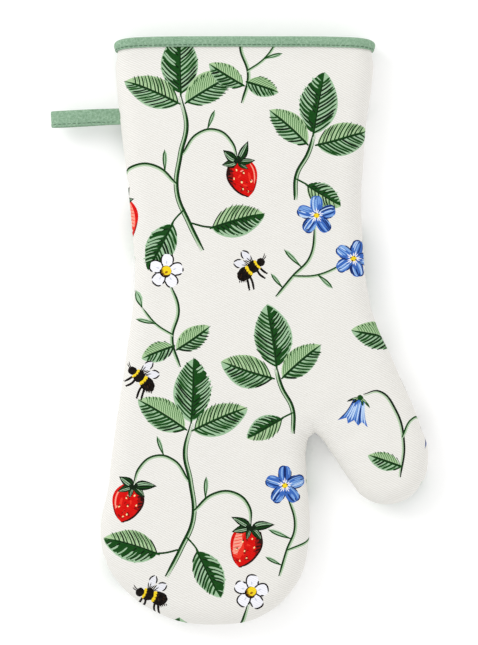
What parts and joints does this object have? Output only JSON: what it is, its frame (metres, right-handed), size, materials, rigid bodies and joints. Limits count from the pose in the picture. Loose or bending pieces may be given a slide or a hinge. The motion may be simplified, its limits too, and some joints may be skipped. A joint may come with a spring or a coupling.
{
  "type": "oven mitt",
  "caption": "Padded single oven mitt with a finger pouch, an angled side thumb, a bound open cuff and a side hanging loop.",
  "frame": {"origin": "on the resting plane, under the middle of the overall box (hanging loop included)", "axes": "+Y from the fingertips to the open cuff, +X to the thumb's side, +Z out of the front panel while the mitt lies on its back panel"},
  "size_m": [0.2114, 0.33, 0.0232],
  "materials": {
    "printed_cotton": "matt cream cotton twill with a printed botanical pattern",
    "wadding": "matt white fibre wadding",
    "lining_cotton": "matt plain off-white cotton",
    "binding_tape": "matt sage green cotton tape",
    "green_thread": "dark green sewing thread",
    "cream_thread": "cream sewing thread"
  },
  "bodies": {
    "palm": {"outer_front_palm": "printed_cotton", "outer_back_palm": "printed_cotton", "wadding_front_palm": "wadding", "wadding_back_palm": "wadding", "lining_front_palm": "lining_cotton", "lining_back_palm": "lining_cotton", "outer_seam_thread_palm_left": "cream_thread", "outer_seam_thread_palm_crotch": "cream_thread", "outer_seam_thread_palm_right": "cream_thread", "lining_seam_thread_palm_left": "cream_thread", "lining_seam_thread_palm_crotch": "cream_thread", "lining_seam_thread_palm_right": "cream_thread", "cuff_binding": "binding_tape", "binding_stitch_outside": "green_thread", "binding_stitch_inside": "green_thread"},
    "fingers": {"outer_front_fingers": "printed_cotton", "outer_back_fingers": "printed_cotton", "wadding_front_fingers": "wadding", "wadding_back_fingers": "wadding", "lining_front_fingers": "lining_cotton", "lining_back_fingers": "lining_cotton", "outer_seam_thread_fingers": "cream_thread", "lining_seam_thread_fingers": "cream_thread"},
    "thumb": {"outer_front_thumb": "printed_cotton", "outer_back_thumb": "printed_cotton", "wadding_front_thumb": "wadding", "wadding_back_thumb": "wadding", "lining_front_thumb": "lining_cotton", "lining_back_thumb": "lining_cotton", "outer_seam_thread_thumb": "cream_thread", "lining_seam_thread_thumb": "cream_thread"},
    "loop": {"hanging_loop": "binding_tape", "loop_stitch": "green_thread"}
  },
  "joints": [
    {"name": "finger_bend", "type": "hinge", "parent": "palm", "child": "fingers", "pos_m": [0, -0.06, 0.0116], "axis": [1, 0, 0], "range_deg": [-35, 35], "stiffness_Nm_per_rad": 0.06},
    {"name": "thumb_fold", "type": "hinge", "parent": "palm", "child": "thumb", "pos_m": [0.0424, -0.059, 0.0116], "axis": [0.735, 0.678, 0], "range_deg": [-35, 35], "stiffness_Nm_per_rad": 0.03},
    {"name": "loop_swing", "type": "hinge", "parent": "palm", "child": "loop", "pos_m": [-0.0694, 0.1204, 0.0116], "axis": [0, 1, 0], "range_deg": [-80, 80], "stiffness_Nm_per_rad": 0.004}
  ]
}
